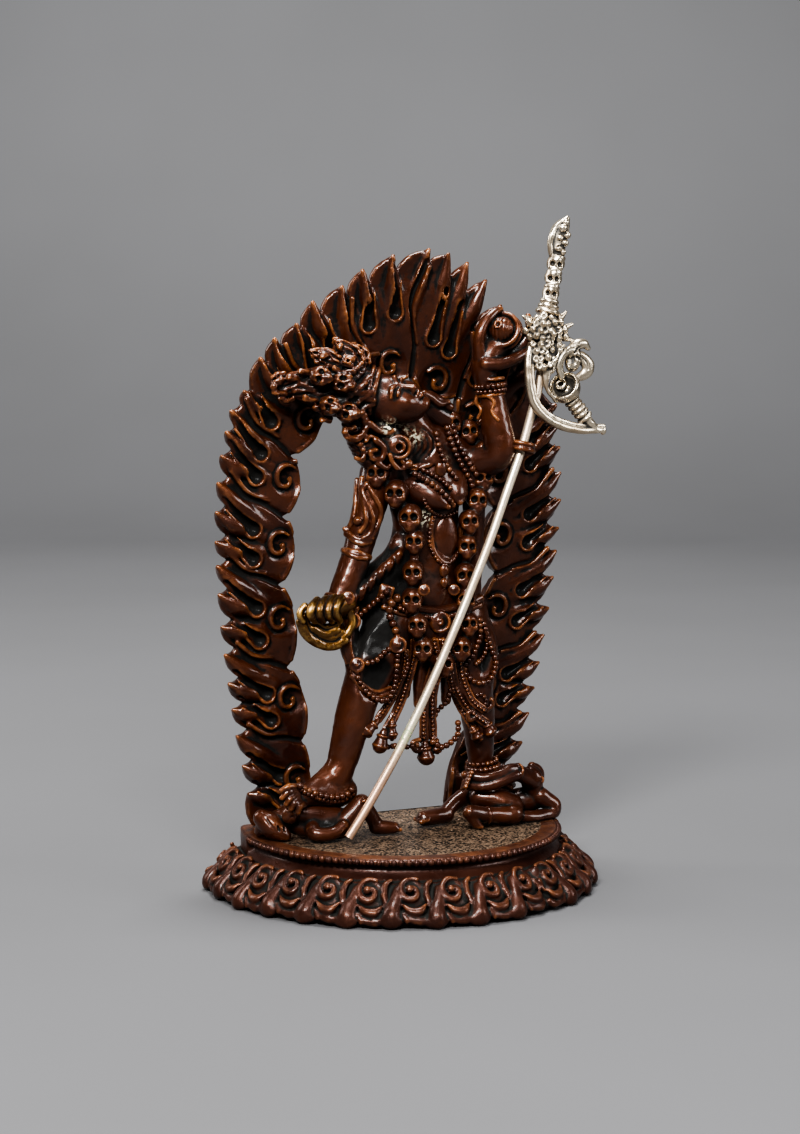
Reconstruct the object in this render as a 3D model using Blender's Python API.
"""A cast copper statuette of a dancing goddess on two trampled figures, before a horseshoe of flames.

Blender 4.5. Lengths are metres, +Z is up and -Y is the front. The origin is the centre of the
pedestal's underside. Points of the free forms are in grid units, measured above the top plate.
"""

import math

import bmesh
import bpy
from mathutils import Matrix, Vector

MM = 0.001

# The group: its free forms are drawn on a grid that reaches from the top plate to the staff's tip
GROUP_HEIGHT = 182.0 * MM
GRID_ROWS = 182.0
UNIT = GROUP_HEIGHT / GRID_ROWS

# Horseshoe of flames
AUREOLE_THICKNESS = 4.2 * MM
AUREOLE_FRONT_Y = 9.9 * UNIT
AUREOLE_FOOT_HALF = 44.0 * UNIT
AUREOLE_LEAN = 0.0764
AUREOLE_CURL = 7.0 * UNIT
AUREOLE_RELIEF = 0.8 * UNIT

# Pedestal: its plate reaches past the feet of the horseshoe by these margins
PLATE_MARGIN = 2.3 * MM
BACK_MARGIN = 3.1 * MM
BACK_Y = AUREOLE_FRONT_Y + AUREOLE_THICKNESS + BACK_MARGIN
PLATE_RADIUS = math.hypot(AUREOLE_FOOT_HALF, AUREOLE_FRONT_Y + AUREOLE_THICKNESS) + PLATE_MARGIN
PEDESTAL_HEIGHT = 17.5 * MM
SKIRT_FLARE = 10.3 * MM
RIM_BEAD = 1.1 * MM
NECK_DEPTH = 2.4 * MM
LEAF_COUNT = 17
LEAF_DEPTH = 1.6 * MM
POINTS_PER_LEAF = 5

# Staff, and the elbow ring that it passes through
ROD_RADIUS = 1.3 * MM
RING_TUBE = 1.1 * MM
RING_CLEARANCE = 1.0 * MM

# Pieces that stand on one another keep this gap
GAP = 0.3 * MM

# Fineness of each skin, and the share of its triangles that is kept
FIGURE_VOXEL = 0.7 * UNIT
FIGURE_KEEP = 0.0395
SMALL_FIGURE_VOXEL = 0.6 * UNIT
LYING_KEEP = 0.075
CROUCHING_KEEP = 0.058
STAFF_VOXEL = 0.5 * UNIT
STAFF_KEEP = 0.028


def above_plate(x, y, h):
    """A point in metres from grid units, with the height counted from the top plate."""
    return Vector((x * UNIT, y * UNIT, PEDESTAL_HEIGHT + h * UNIT))


def clear_scene():
    for obj in list(bpy.data.objects):
        bpy.data.objects.remove(obj, do_unlink=True)


def metal(name, colour, roughness):
    material = bpy.data.materials.new(name)
    material.use_nodes = True
    shader = material.node_tree.nodes["Principled BSDF"]
    shader.inputs["Base Color"].default_value = (*colour, 1.0)
    shader.inputs["Metallic"].default_value = 1.0
    shader.inputs["Roughness"].default_value = roughness
    return material


def add_object(name, bm, material, smooth=True):
    bmesh.ops.recalc_face_normals(bm, faces=bm.faces)
    mesh = bpy.data.meshes.new(name)
    bm.to_mesh(mesh)
    bm.free()
    mesh.materials.append(material)
    for face in mesh.polygons:
        face.use_smooth = smooth
    obj = bpy.data.objects.new(name, mesh)
    bpy.context.scene.collection.objects.link(obj)
    return obj


def ball(bm, centre, radii, turn=None):
    """An ellipsoid; radii in metres along its own axes, turn an optional rotation matrix."""
    if isinstance(radii, float):
        radii = (radii, radii, radii)
    frame = Matrix.Translation(centre) @ (turn.to_4x4() if turn else Matrix.Identity(4))
    frame = frame @ Matrix.Diagonal((*radii, 1.0))
    bmesh.ops.create_icosphere(bm, subdivisions=2, radius=1.0, matrix=frame)


def limb(bm, points, radii, sides=12):
    """Round bars between points, with a ball at each point; radii in metres."""
    for point, radius in zip(points, radii):
        ball(bm, point, float(radius))
    for (a, ra), (b, rb) in zip(zip(points, radii), zip(points[1:], radii[1:])):
        run = b - a
        turn = run.to_track_quat("Z", "Y").to_matrix().to_4x4()
        frame = Matrix.Translation((a + b) / 2) @ turn
        bmesh.ops.create_cone(
            bm, cap_ends=True, segments=sides, radius1=ra, radius2=rb, depth=run.length, matrix=frame
        )


def grid_limb(bm, points, radii, sides=12):
    """A limb through points of the grid; radii is one number or one for each point."""
    if not isinstance(radii, (list, tuple)):
        radii = [radii] * len(points)
    limb(bm, [above_plate(*p) for p in points], [r * UNIT for r in radii], sides)


def torus(bm, centre, major, minor, turn, sides=20):
    points = []
    for i in range(sides + 1):
        angle = 2 * math.pi * i / sides
        points.append(centre + major * (turn @ Vector((math.cos(angle), math.sin(angle), 0.0))))
    limb(bm, points, [minor] * len(points), 8)


def fuse(obj, voxel, keep):
    """Melts overlapping shapes into one skin and thins it to a share of its triangles."""
    remesh = obj.modifiers.new("One skin", "REMESH")
    remesh.mode = "VOXEL"
    remesh.voxel_size = voxel
    remesh.use_smooth_shade = True
    thin = obj.modifiers.new("Fewer faces", "DECIMATE")
    thin.ratio = keep


# Pedestal


def plan_point(radius, share):
    """A point of the half-round plan, from its left back corner round the front to the right one."""
    corner = math.asin(BACK_Y / radius)
    angle = math.pi - corner + share * (math.pi + 2 * corner)
    return radius * math.cos(angle), radius * math.sin(angle)


def leaf_wave(share, phase=0.0):
    """0 in the groove between two leaves, 1 on the crown of a leaf."""
    return abs(math.sin(math.pi * (share * LEAF_COUNT + phase))) ** 0.7


def pedestal_rings():
    """(offset from the plate's edge, height, leaf depth, leaf phase) from the underside up."""
    top = PEDESTAL_HEIGHT
    bead = RIM_BEAD
    return [
        (SKIRT_FLARE - 1.2 * MM, 0.0, LEAF_DEPTH, 0.0),
        (SKIRT_FLARE, 0.09 * top, LEAF_DEPTH, 0.0),
        (SKIRT_FLARE - 1.3 * MM, 0.24 * top, LEAF_DEPTH, 0.0),
        (0.60 * SKIRT_FLARE, 0.38 * top, 0.7 * LEAF_DEPTH, 0.25),
        (0.42 * SKIRT_FLARE, 0.50 * top, 0.6 * LEAF_DEPTH, 0.5),
        (0.16 * SKIRT_FLARE, 0.68 * top, 0.5 * LEAF_DEPTH, 0.5),
        (-0.8 * NECK_DEPTH, 0.74 * top, 0.0, 0.0),
        (-NECK_DEPTH, top - 2.6 * bead, 0.0, 0.0),
        (-0.9 * bead, top - 2.1 * bead, 0.0, 0.0),
        (-0.1 * bead, top - 1.5 * bead, 0.0, 0.0),
        (-0.1 * bead, top - 0.7 * bead, 0.0, 0.0),
        (-0.8 * bead, top - 0.2 * bead, 0.0, 0.0),
        (-2.0 * bead, top, 0.0, 0.0),
    ]


def make_base(material):
    bm = bmesh.new()
    count = LEAF_COUNT * POINTS_PER_LEAF
    rings = []
    for offset, height, depth, phase in pedestal_rings():
        ring = []
        for i in range(count + 1):
            share = i / count
            groove = depth * (1 - leaf_wave(share, phase))
            x, y = plan_point(PLATE_RADIUS + offset - groove, share)
            ring.append(bm.verts.new((x, y, height)))
        rings.append(ring)
    for low, high in zip(rings, rings[1:]):
        for i in range(count + 1):
            j = (i + 1) % (count + 1)
            bm.faces.new((low[i], low[j], high[j], high[i]))
    bm.faces.new(list(reversed(rings[0])))
    bm.faces.new(rings[-1])
    return add_object("base", bm, material)


# Horseshoe of flames

SIDE_TIP_HEIGHTS = [
    10.7, 19.4, 28.6, 36.8, 44.8, 53.5, 62.0, 71.7, 80.0, 87.2, 96.0, 104.5, 112.5, 119.3, 125.5,
]
WIDEST_HALF = 56.6
WIDEST_HEIGHT = 94.5
FOOT_NARROWING = 12.0
FOOT_SPAN = 84.0
SIDE_VALLEY = (3.0, 1.7)
ARCH_TIPS = [
    (-49.3, 131.1), (-44.9, 140.6), (-40.9, 146.1),
    (-34.4, 150.3), (-29.9, 156.7), (-21.1, 161.2),
    (-15.1, 165.9), (-5.8, 170.2), (5.5, 172.1),
    (12.0, 170.9), (18.5, 168.3), (25.2, 163.3),
    (31.1, 155.9), (38.5, 149.0), (45.0, 139.5),
]
ARCH_VALLEYS = [
    (2.3, 0.6), (2.3, -1.2), (2.3, -2.0),
    (2.2, -2.4), (3.0, -3.0), (2.4, -3.4),
    (2.6, -3.8), (1.4, -4.6), (-0.6, -5.4),
    (-1.0, -13.0), (-2.0, -14.0), (-3.0, -15.0),
    (-2.6, -11.0), (-2.6, -5.0), (-2.8, -1.0),
]
INNER_NOTCHES = [
    (-25.0, 0.0), (-28.2, 25.9), (-33.5, 48.6), (-37.0, 73.9), (-35.9, 94.1), (-34.2, 112.3),
    (-24.5, 130.0), (-10.0, 137.0), (3.2, 135.5), (19.5, 129.5),
    (31.5, 112.3), (34.5, 94.1), (36.0, 73.9), (33.0, 48.6), (28.2, 25.9), (21.5, 0.0),
]
LOBE_SWELL = [2.0, 3.8, 4.4, 4.6, 4.4, 4.6, 3.4, 3.0, 4.2, 4.6, 4.4, 4.6, 4.4, 3.8, 2.4]
FLAMES_PER_LOBE = 3
STEPS_PER_FLAME = 3
ACROSS = [0.0, 0.2, 0.6, 1.0]
BACK_ACROSS = (0.0, 1.0)


def side_half_width(height):
    """Distance of a side flame's tip from the middle, at a height above the plate."""
    drop = max(0.0, (WIDEST_HEIGHT - height) / FOOT_SPAN)
    rise = max(0.0, (height - WIDEST_HEIGHT) / 31.0)
    return WIDEST_HALF - FOOT_NARROWING * drop**1.66 - 3.6 * rise**2


def outer_points():
    """The flames' outline in grid units, three steps for each flame, from left foot to right foot."""
    left = [(-side_half_width(h), h) for h in SIDE_TIP_HEIGHTS]
    right = [(x * -1, h) for x, h in reversed(left)]
    tips = left + ARCH_TIPS + right
    drops = [SIDE_VALLEY] * len(left) + ARCH_VALLEYS
    valleys = [(-side_half_width(0.0) + 1.0, 0.0)]
    valleys += [(x + dx, h + dh) for (x, h), (dx, dh) in zip(tips, drops)]
    valleys += [(x - SIDE_VALLEY[0], h + SIDE_VALLEY[1]) for x, h in right[1:]]
    valleys.append((side_half_width(0.0) - 1.0, 0.0))
    points = []
    for (a, tip), b in zip(zip(valleys, tips), valleys[1:]):
        rising = Vector((tip[0] - a[0], tip[1] - a[1]))
        swell = Vector((-rising.y, rising.x)) * 0.14
        if tip[0] > 0 and tip not in ARCH_TIPS:
            swell = Vector((0.0, 0.0))
        middle = Vector((a[0] + tip[0], a[1] + tip[1])) / 2 + swell
        points += [a, tuple(middle), tip]
    points.append(valleys[-1])
    return points


def inner_points(count):
    """The lobed inner outline in grid units, with the same number of steps as the flames."""
    steps = (count - 1) // (len(INNER_NOTCHES) - 1)
    points = []
    for (a, b), swell in zip(zip(INNER_NOTCHES, INNER_NOTCHES[1:]), LOBE_SWELL):
        chord = Vector((b[0] - a[0], b[1] - a[1]))
        inward = Vector((chord.y, -chord.x)).normalized()
        for k in range(steps):
            t = k / steps
            bulge = swell * math.sin(math.pi * t) ** 0.6
            points.append((a[0] + chord.x * t + inward.x * bulge, a[1] + chord.y * t + inward.y * bulge))
    points.append(INNER_NOTCHES[-1])
    return points


def front_y(height):
    """Where the front of the horseshoe lies: it leans and curls towards the front."""
    curl = max(0.0, (height - 92.5) / 80.0) ** 2
    return AUREOLE_FRONT_Y - AUREOLE_LEAN * height * UNIT - AUREOLE_CURL * curl


def make_aureole(material):
    outer = outer_points()
    inner = inner_points(len(outer))
    steps = FLAMES_PER_LOBE * STEPS_PER_FLAME
    bm = bmesh.new()
    fronts, backs = [], []
    for i, (o, n) in enumerate(zip(outer, inner)):
        groove = 1.0 if i % steps == 0 else 0.0
        valley = 1.0 if i % STEPS_PER_FLAME == 0 else 0.0
        front, back = [], []
        for t in ACROSS:
            x = n[0] + (o[0] - n[0]) * t
            h = max(n[1] + (o[1] - n[1]) * t, GAP / UNIT)
            sunk = max(groove, valley * min(1.0, 1.4 * t)) * AUREOLE_RELIEF
            edge = 0.5 * AUREOLE_RELIEF if t in BACK_ACROSS else 0.0
            y = front_y(h)
            front.append(bm.verts.new((x * UNIT, y + sunk + edge, PEDESTAL_HEIGHT + h * UNIT)))
            if t in BACK_ACROSS:
                back.append(bm.verts.new((x * UNIT, y + AUREOLE_THICKNESS, PEDESTAL_HEIGHT + h * UNIT)))
        fronts.append(front)
        backs.append(back)
    loops = [front + list(reversed(back)) for front, back in zip(fronts, backs)]
    for a, b in zip(loops, loops[1:]):
        for k in range(len(a)):
            m = (k + 1) % len(a)
            bm.faces.new((a[k], a[m], b[m], b[k]))
    bm.faces.new(loops[0])
    bm.faces.new(list(reversed(loops[-1])))
    return add_object("flame_aureole", bm, material)


# The goddess

RIGHT_LEG = [
    (-4.5, -6.0, 62.6), (-16.5, -9.0, 42.5), (-19.6, -8.0, 30.6), (-23.4, -8.0, 17.5), (-23.4, -8.0, 12.6),
]
RIGHT_LEG_RADII = [8.2, 5.6, 5.4, 4.0, 3.9]
RIGHT_FOOT = [(-23.0, -7.5, 12.2), (-29.0, -9.0, 12.4), (-36.4, -11.0, 12.6), (-40.6, -12.0, 12.8)]
RIGHT_FOOT_RADII = [3.3, 3.2, 2.3, 1.6]
LEFT_LEG = [
    (18.0, -6.0, 62.6), (21.6, -8.0, 40.5), (24.0, -6.5, 27.5), (25.0, -5.0, 16.0), (25.0, -4.0, 12.0),
]
LEFT_LEG_RADII = [8.2, 5.8, 4.6, 3.7, 3.7]
LEFT_FOOT = [(24.6, -3.5, 11.4), (28.5, -7.0, 11.0), (32.5, -10.5, 10.6)]
LEFT_FOOT_RADII = [3.2, 2.6, 1.8]
TORSO = [
    (7.6, -6.0, 61.0, 11.5, 7.6), (7.5, -6.0, 67.0, 11.8, 7.4), (7.8, -6.3, 76.0, 9.8, 6.4),
    (7.6, -6.5, 84.6, 8.8, 6.0), (6.6, -6.5, 92.0, 9.4, 6.2), (5.6, -6.5, 99.0, 11.0, 6.4),
    (5.4, -6.5, 105.0, 11.8, 5.8), (6.0, -6.5, 110.0, 10.0, 4.8),
]
NECK = [(5.0, -6.5, 110.0), (2.0, -7.5, 117.0), (-1.6, -9.0, 122.0)]
BREASTS = [((1.2, -10.0, 102.3), (8.0, -17.0, 97.0)), ((12.6, -10.0, 103.4), (12.4, -16.0, 98.0))]
RIGHT_ARM = [
    (-9.6, -6.0, 106.4), (-13.2, -6.5, 95.0), (-16.6, -7.0, 84.0), (-19.5, -8.0, 76.7),
    (-23.6, -9.0, 70.4),
]
RIGHT_ARM_RADII = [5.4, 4.7, 4.0, 4.4, 3.6]
RIGHT_HAND = [(-26.5, -10.0, 68.0), (-30.0, -11.0, 66.5), (-35.0, -11.5, 66.0)]
KNIFE = [
    (-35.6, -11.0, 63.6), (-33.6, -11.2, 59.8), (-29.5, -11.2, 57.6), (-25.0, -11.0, 58.4),
    (-22.6, -10.5, 61.0),
]
LEFT_ARM = [(21.5, -7.0, 108.0), (26.0, -14.0, 113.0), (25.2, -14.0, 122.0), (23.7, -13.2, 132.5)]
LEFT_ARM_RADII = [5.0, 4.8, 4.5, 3.5]
LEFT_HAND = [(24.2, -13.0, 136.0), (26.4, -12.6, 139.4)]
SKULL_CUP = (27.2, -13.0, 143.4)
FINGERS = [
    [(27.0, -14.5, 139.6), (31.5, -16.0, 141.6), (34.2, -16.6, 143.6)],
    [(29.0, -12.0, 142.0), (32.4, -12.4, 148.0), (33.0, -12.6, 151.6)],
]
HEAD_CENTRE = (-7.2, -9.0, 128.4)
FACE_TURN = (0.12, 1.22, 0.32)
HAIR = [(-12.6, -9.0, 129.0), (-21.4, -8.6, 131.0), (-29.6, -7.4, 132.2), (-40.2, -6.2, 132.2)]
HAIR_RADII = [7.0, 5.0, 3.8, 2.4]
SIDE_HAIR = [(-12.5, -6.0, 122.0), (-9.5, -6.0, 114.5), (-8.0, -6.5, 108.0)]
CROWN_SKULLS = [(-21.6, -11.4, 133.0), (-27.8, -10.4, 134.8), (-19.9, -11.6, 125.0), (-25.6, -10.0, 127.0)]
CROWN_LEAVES = [(-27.2, -8.4, 139.2), (-22.6, -8.8, 139.6), (-30.4, -7.6, 139.8)]
EARRING = (-6.3, -13.5, 114.8)
EARRING_RADIUS = 3.2
GARLAND = [
    (-11.3, -9.0, 106.8), (-6.7, -12.0, 100.9), (-2.8, -13.4, 93.8), (-1.5, -14.0, 86.8),
    (-2.2, -14.5, 77.7), (-2.7, -15.0, 69.7), (-1.3, -15.5, 62.1), (0.5, -15.4, 55.1),
    (7.4, -15.4, 50.2), (13.0, -15.4, 54.3), (15.9, -14.6, 61.5), (15.4, -13.8, 68.8),
    (15.5, -13.0, 75.9), (16.4, -12.4, 84.4), (17.1, -12.4, 91.9), (20.0, -11.6, 98.1),
    (22.6, -10.0, 104.6), (22.6, -9.4, 112.0), (19.1, -7.4, 118.4), (13.6, -6.6, 121.0),
]
SKULL_RADIUS = 3.0
BELT_BOSS = (5.9, -15.6, 63.5)
SKIRT = [(-13.0, -6.0, 70.5), (-18.6, -7.5, 63.5), (-19.4, -8.0, 57.0), (-17.6, -9.0, 50.0)]
SKIRT_RADII = [3.0, 2.6, 2.4, 2.2]
APRON_CHAINS = [
    [(-9.7, -12.6, 72.1), (-14.5, -12.4, 67.0), (-19.6, -11.0, 63.9)],
    [(-9.7, -12.6, 72.1), (-8.6, -13.6, 65.7), (-6.8, -14.0, 56.6)],
    [(-6.8, -14.0, 56.6), (-13.6, -14.0, 52.5), (-18.8, -12.4, 51.1)],
    [(-18.8, -12.4, 51.1), (-17.0, -13.4, 43.7), (-12.3, -14.0, 40.6), (-8.1, -14.0, 43.3)],
    [(-8.1, -14.0, 43.3), (-6.8, -14.0, 56.6)],
    [(20.6, -13.4, 62.4), (17.4, -15.0, 52.3), (15.4, -15.0, 46.4), (19.6, -14.0, 43.6)],
    [(19.6, -14.0, 43.6), (24.6, -12.4, 44.0), (27.2, -10.6, 48.3), (25.2, -10.6, 54.2)],
    [(25.2, -10.6, 54.2), (20.6, -13.4, 62.4)],
    [(5.0, -13.6, 25.4), (8.5, -13.2, 24.8), (13.9, -12.6, 31.5)],
]
CHAIN_RADIUS = 1.1
HIP_PANEL = [(21.0, -11.8, 58.0), (21.2, -12.2, 48.5)]
RIBBONS = [
    [(0.5, -14.6, 52.0), (-3.0, -14.2, 44.0), (-6.8, -13.6, 38.7), (-10.0, -12.8, 33.0), (-14.4, -12.6, 29.0)],
    [(7.4, -14.6, 50.0), (3.4, -14.2, 41.7), (3.4, -14.0, 28.0), (2.4, -14.0, 21.0)],
    [(12.0, -14.6, 52.0), (12.8, -14.2, 41.0), (16.5, -13.6, 36.1), (23.2, -12.8, 30.2)],
]
RIBBON_RADII = [1.7, 1.5, 1.5, 1.6, 1.8]
ANKLETS = [((-24.0, -8.2, 15.0), 4.9, 0.9), ((26.0, -5.0, 16.0), 4.6, 0.9)]


def turned(angles):
    x, y, z = angles
    return Matrix.Rotation(z, 3, "Z") @ Matrix.Rotation(y, 3, "Y") @ Matrix.Rotation(x, 3, "X")


def lofted_body(bm, sections, sides=20):
    """A closed skin through level ellipses, each (x, y, height, half width, half depth)."""
    rings = []
    for x, y, h, half_width, half_depth in sections:
        ring = []
        for i in range(sides):
            angle = 2 * math.pi * i / sides
            point = above_plate(x + half_width * math.cos(angle), y + half_depth * math.sin(angle), h)
            ring.append(bm.verts.new(point))
        rings.append(ring)
    for low, high in zip(rings, rings[1:]):
        for i in range(sides):
            j = (i + 1) % sides
            bm.faces.new((low[i], low[j], high[j], high[i]))
    bm.faces.new(list(reversed(rings[0])))
    bm.faces.new(rings[-1])


def add_body(bm):
    lofted_body(bm, TORSO)
    grid_limb(bm, RIGHT_LEG, RIGHT_LEG_RADII)
    grid_limb(bm, RIGHT_FOOT, RIGHT_FOOT_RADII)
    grid_limb(bm, LEFT_LEG, LEFT_LEG_RADII)
    grid_limb(bm, LEFT_FOOT, LEFT_FOOT_RADII)
    grid_limb(bm, NECK, [5.4, 4.2, 4.2])
    for root, tip in BREASTS:
        grid_limb(bm, [root, tip], [4.8, 1.5])


def add_arms(bm):
    grid_limb(bm, RIGHT_ARM, RIGHT_ARM_RADII)
    grid_limb(bm, RIGHT_HAND, [3.4, 3.6, 2.6])
    grid_limb(bm, KNIFE, [1.3, 1.6, 1.8, 1.6, 1.2])
    grid_limb(bm, LEFT_ARM, LEFT_ARM_RADII)
    grid_limb(bm, LEFT_HAND, [3.4, 3.8])
    ball(bm, above_plate(*SKULL_CUP), (5.2 * UNIT, 4.8 * UNIT, 3.6 * UNIT))
    ball(bm, above_plate(SKULL_CUP[0], SKULL_CUP[1], SKULL_CUP[2] + 5.4), 4.1 * UNIT)
    for finger in FINGERS:
        grid_limb(bm, finger, [1.5, 1.1, 0.8])


def add_head(bm):
    turn = turned(FACE_TURN)
    ball(bm, above_plate(*HEAD_CENTRE), (7.2 * UNIT, 7.4 * UNIT, 9.4 * UNIT), turn)
    grid_limb(bm, HAIR, HAIR_RADII)
    grid_limb(bm, SIDE_HAIR, [5.0, 4.2, 3.6])
    for place in CROWN_SKULLS:
        ball(bm, above_plate(*place), 3.2 * UNIT)
    for place in CROWN_LEAVES:
        ball(bm, above_plate(*place), (3.4 * UNIT, 1.6 * UNIT, 2.4 * UNIT))
        grid_limb(bm, [HAIR[1], place], [3.0, 1.6])
    ring_turn = Matrix.Rotation(math.radians(90), 3, "X")
    torus(bm, above_plate(*EARRING), EARRING_RADIUS * UNIT, 1.1 * UNIT, ring_turn, 14)
    grid_limb(bm, [SIDE_HAIR[1], EARRING], [3.0, 1.6])


def add_ornaments(bm):
    for place in GARLAND:
        ball(bm, above_plate(*place), SKULL_RADIUS * UNIT)
    grid_limb(bm, GARLAND, 1.4)
    ball(bm, above_plate(*BELT_BOSS), 3.2 * UNIT)
    grid_limb(bm, SKIRT, SKIRT_RADII)
    grid_limb(bm, HIP_PANEL, [3.0, 4.2])
    for chain in APRON_CHAINS:
        grid_limb(bm, chain, CHAIN_RADIUS, 8)
    for ribbon in RIBBONS:
        grid_limb(bm, ribbon, RIBBON_RADII[: len(ribbon)], 8)
    for place, major, minor in ANKLETS:
        torus(bm, above_plate(*place), major * UNIT, minor * UNIT, Matrix.Identity(3), 16)


def rod_at(height):
    """The staff's centre line at a height above the plate, in grid units."""
    for a, b in zip(ROD, ROD[1:]):
        if a[2] <= height <= b[2]:
            t = (height - a[2]) / (b[2] - a[2])
            return tuple(a[k] + (b[k] - a[k]) * t for k in range(3))
    return ROD[-1]


def add_staff_ring(bm):
    """The ring at the elbow that the staff passes through."""
    centre = rod_at(RING_HEIGHT)
    major = ROD_RADIUS + RING_CLEARANCE + RING_TUBE
    torus(bm, above_plate(*centre), major, RING_TUBE, Matrix.Identity(3))
    arm = above_plate(*LEFT_ARM[1])
    side = above_plate(centre[0] - major / UNIT, centre[1], centre[2])
    limb(bm, [arm, side], [1.6 * UNIT, RING_TUBE])


def make_figure(material):
    bm = bmesh.new()
    add_body(bm)
    add_arms(bm)
    add_head(bm)
    add_ornaments(bm)
    add_staff_ring(bm)
    figure = add_object("figure", bm, material)
    fuse(figure, FIGURE_VOXEL, FIGURE_KEEP)
    return figure


# The two trampled figures

LYING_BODY = [(-37.6, -6.0, 4.4), (-33.4, -8.2, 4.0), (-29.0, -10.6, 3.6), (-25.4, -12.2, 3.2)]
LYING_BODY_RADII = [2.4, 3.6, 3.4, 3.0]
LYING_HEAD = [(-41.4, -4.2, 5.0), (-44.6, -2.0, 3.2)]
LYING_HEAD_RADII = [3.6, 2.4]
LYING_THIGH = [(-25.4, -12.6, 2.9), (-18.6, -13.0, 10.0)]
LYING_SHIN = [(-17.6, -12.6, 10.4), (-12.9, -12.2, 2.6), (-8.6, -13.6, 1.7)]
LYING_ARM = [(-33.0, -10.6, 4.6), (-31.6, -14.4, 2.2), (-26.6, -15.4, 3.6)]

CROUCHING_BODY = [(27.5, -5.6, 4.0), (33.0, -7.2, 4.2), (38.0, -8.6, 4.6), (42.2, -9.6, 5.6)]
CROUCHING_BODY_RADII = [3.4, 3.4, 3.6, 3.4]
CROUCHING_HEAD = [(41.2, -9.6, 9.0), (40.2, -10.0, 12.6)]
CROUCHING_HEAD_RADII = [2.4, 3.6]
HUGGING_ARM = [
    (41.0, -11.0, 11.4), (35.6, -12.8, 12.6), (29.6, -13.6, 13.4), (22.6, -13.0, 12.6), (18.6, -10.0, 12.2),
]
GROUND_ARM = [(43.6, -10.8, 5.2), (45.2, -13.0, 2.6), (38.6, -15.4, 3.2), (34.0, -15.6, 3.4)]
BACK_LEG = [(27.0, -5.0, 4.4), (19.6, -4.0, 7.6), (12.4, -7.0, 3.8), (9.0, -8.0, 2.4), (3.6, -8.0, 2.6)]
FRONT_LEG = [(30.0, -9.0, 4.4), (29.9, -17.6, 2.5), (15.4, -17.6, 4.8), (17.0, -19.2, 1.4)]


def make_lying_figure(material):
    bm = bmesh.new()
    grid_limb(bm, LYING_BODY, LYING_BODY_RADII)
    grid_limb(bm, LYING_HEAD, LYING_HEAD_RADII)
    grid_limb(bm, LYING_THIGH, [2.6, 2.0])
    grid_limb(bm, LYING_SHIN, [1.9, 1.5, 1.4])
    grid_limb(bm, LYING_ARM, [2.0, 1.7, 1.5])
    obj = add_object("trampled_figure_right_foot", bm, material)
    fuse(obj, SMALL_FIGURE_VOXEL, LYING_KEEP)
    return obj


def make_crouching_figure(material):
    bm = bmesh.new()
    grid_limb(bm, CROUCHING_BODY, CROUCHING_BODY_RADII)
    grid_limb(bm, CROUCHING_HEAD, CROUCHING_HEAD_RADII)
    grid_limb(bm, HUGGING_ARM, [1.9, 1.8, 1.7, 1.5, 1.3])
    grid_limb(bm, GROUND_ARM, [2.4, 2.2, 1.7, 1.5])
    grid_limb(bm, BACK_LEG, [2.8, 2.2, 1.8, 1.8, 1.7])
    grid_limb(bm, FRONT_LEG, [2.8, 2.1, 1.5, 1.1])
    obj = add_object("trampled_figure_left_foot", bm, material)
    fuse(obj, SMALL_FIGURE_VOXEL, CROUCHING_KEEP)
    return obj


# The silver staff

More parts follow.
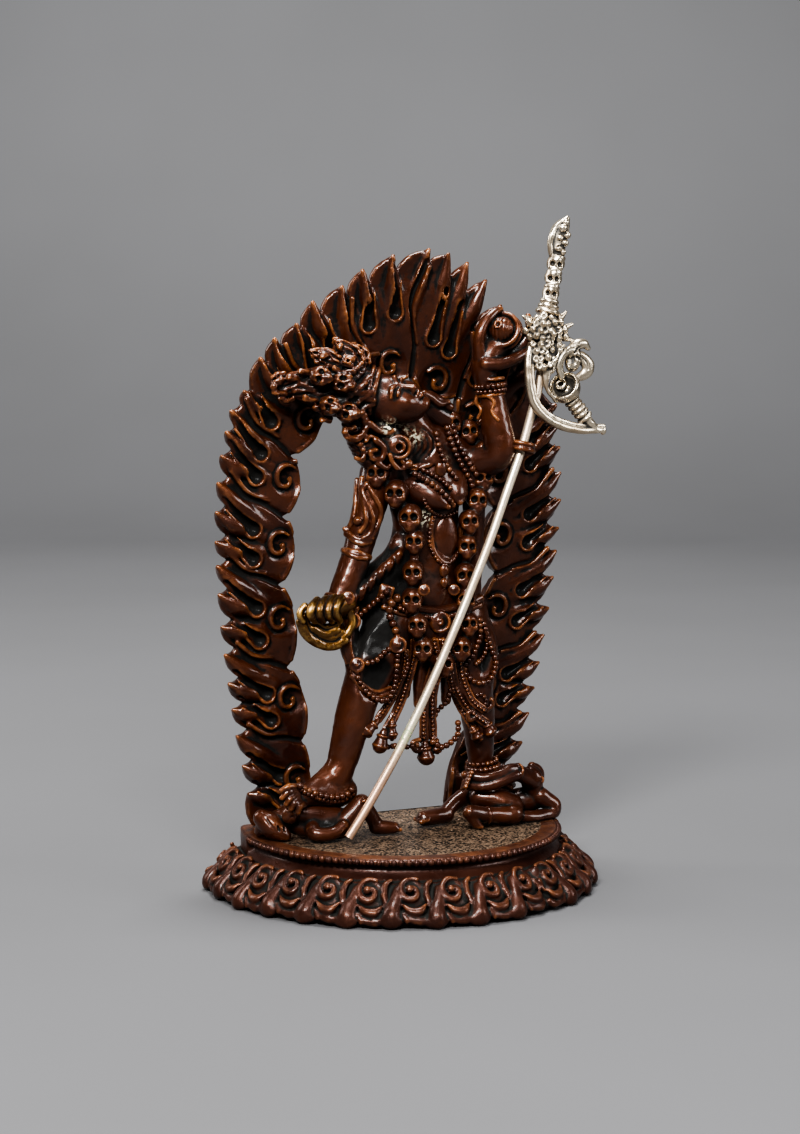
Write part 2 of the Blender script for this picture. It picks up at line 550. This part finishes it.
RING_HEIGHT = 114.1
ROD = [
    (-25.0, -19.0, (ROD_RADIUS + GAP) / UNIT), (-18.0, -19.2, 11.7), (-7.5, -19.4, 28.8),
    (3.6, -19.4, 49.6), (18.7, -18.4, 81.0), (27.5, -17.2, 101.4), (32.8, -16.4, 114.1),
    (36.6, -16.0, 125.9), (38.8, -15.6, 132.7), (41.0, -15.0, 148.7), (44.8, -14.2, 168.0),
    (49.0, -13.6, 180.4),
]
STAFF_BEADS = [
    ((41.6, -15.0, 151.0), 3.6), ((42.4, -15.0, 156.0), 2.8), ((43.0, -14.8, 160.0), 3.2),
    ((44.2, -14.4, 164.2), 3.0), ((45.0, -14.2, 168.0), 3.0), ((46.2, -14.0, 173.0), 3.4),
    ((47.6, -13.8, 177.4), 2.8),
]
STAFF_ARMS = [
    [(38.2, -16.0, 150.0), (42.0, -15.2, 149.0), (48.8, -14.0, 149.6)],
    [(41.0, -19.5, 149.6), (41.4, -11.0, 149.6)],
]
BOW = [
    (37.6, -16.4, 148.0), (35.0, -17.6, 143.0), (34.0, -18.8, 133.1), (35.0, -19.2, 127.3),
    (39.9, -19.0, 122.6), (46.3, -18.0, 120.1), (53.1, -17.4, 118.7), (59.0, -17.2, 119.4),
]
STRAP = [(43.2, -16.6, 146.0), (42.6, -17.8, 138.7), (42.6, -18.0, 134.0), (47.0, -17.6, 130.5)]
BOWL = (47.4, -17.2, 131.0)
BOWL_HANDLE = [(49.6, -17.2, 128.0), (52.6, -17.2, 124.0), (55.6, -17.4, 119.8)]
CURL = [
    (46.0, -16.6, 134.0), (48.4, -16.4, 140.0), (52.0, -16.2, 143.4), (55.0, -16.2, 141.0),
    (54.4, -16.4, 136.6), (50.4, -16.8, 132.4),
]


def make_khatvanga(material):
    bm = bmesh.new()
    grid_limb(bm, ROD, [ROD_RADIUS / UNIT] * (len(ROD) - 1) + [1.6])
    for place, radius in STAFF_BEADS:
        ball(bm, above_plate(*place), radius * UNIT)
    for arm in STAFF_ARMS:
        grid_limb(bm, arm, [1.6] * len(arm), 8)
    grid_limb(bm, BOW, 1.1, 8)
    grid_limb(bm, STRAP, 1.4, 8)
    ball(bm, above_plate(*BOWL), (4.0 * UNIT, 3.4 * UNIT, 3.0 * UNIT))
    grid_limb(bm, BOWL_HANDLE, 1.7, 8)
    grid_limb(bm, CURL, [1.2, 1.4, 1.6, 1.8, 1.6, 1.2], 8)
    obj = add_object("khatvanga", bm, material)
    fuse(obj, STAFF_VOXEL, STAFF_KEEP)
    return obj


def main():
    clear_scene()
    copper = metal("oxidised_copper", (0.16, 0.075, 0.045), 0.38)
    silver = metal("silver", (0.78, 0.75, 0.70), 0.25)
    make_base(copper)
    make_aureole(copper)
    make_figure(copper)
    make_lying_figure(copper)
    make_crouching_figure(copper)
    make_khatvanga(silver)


main()
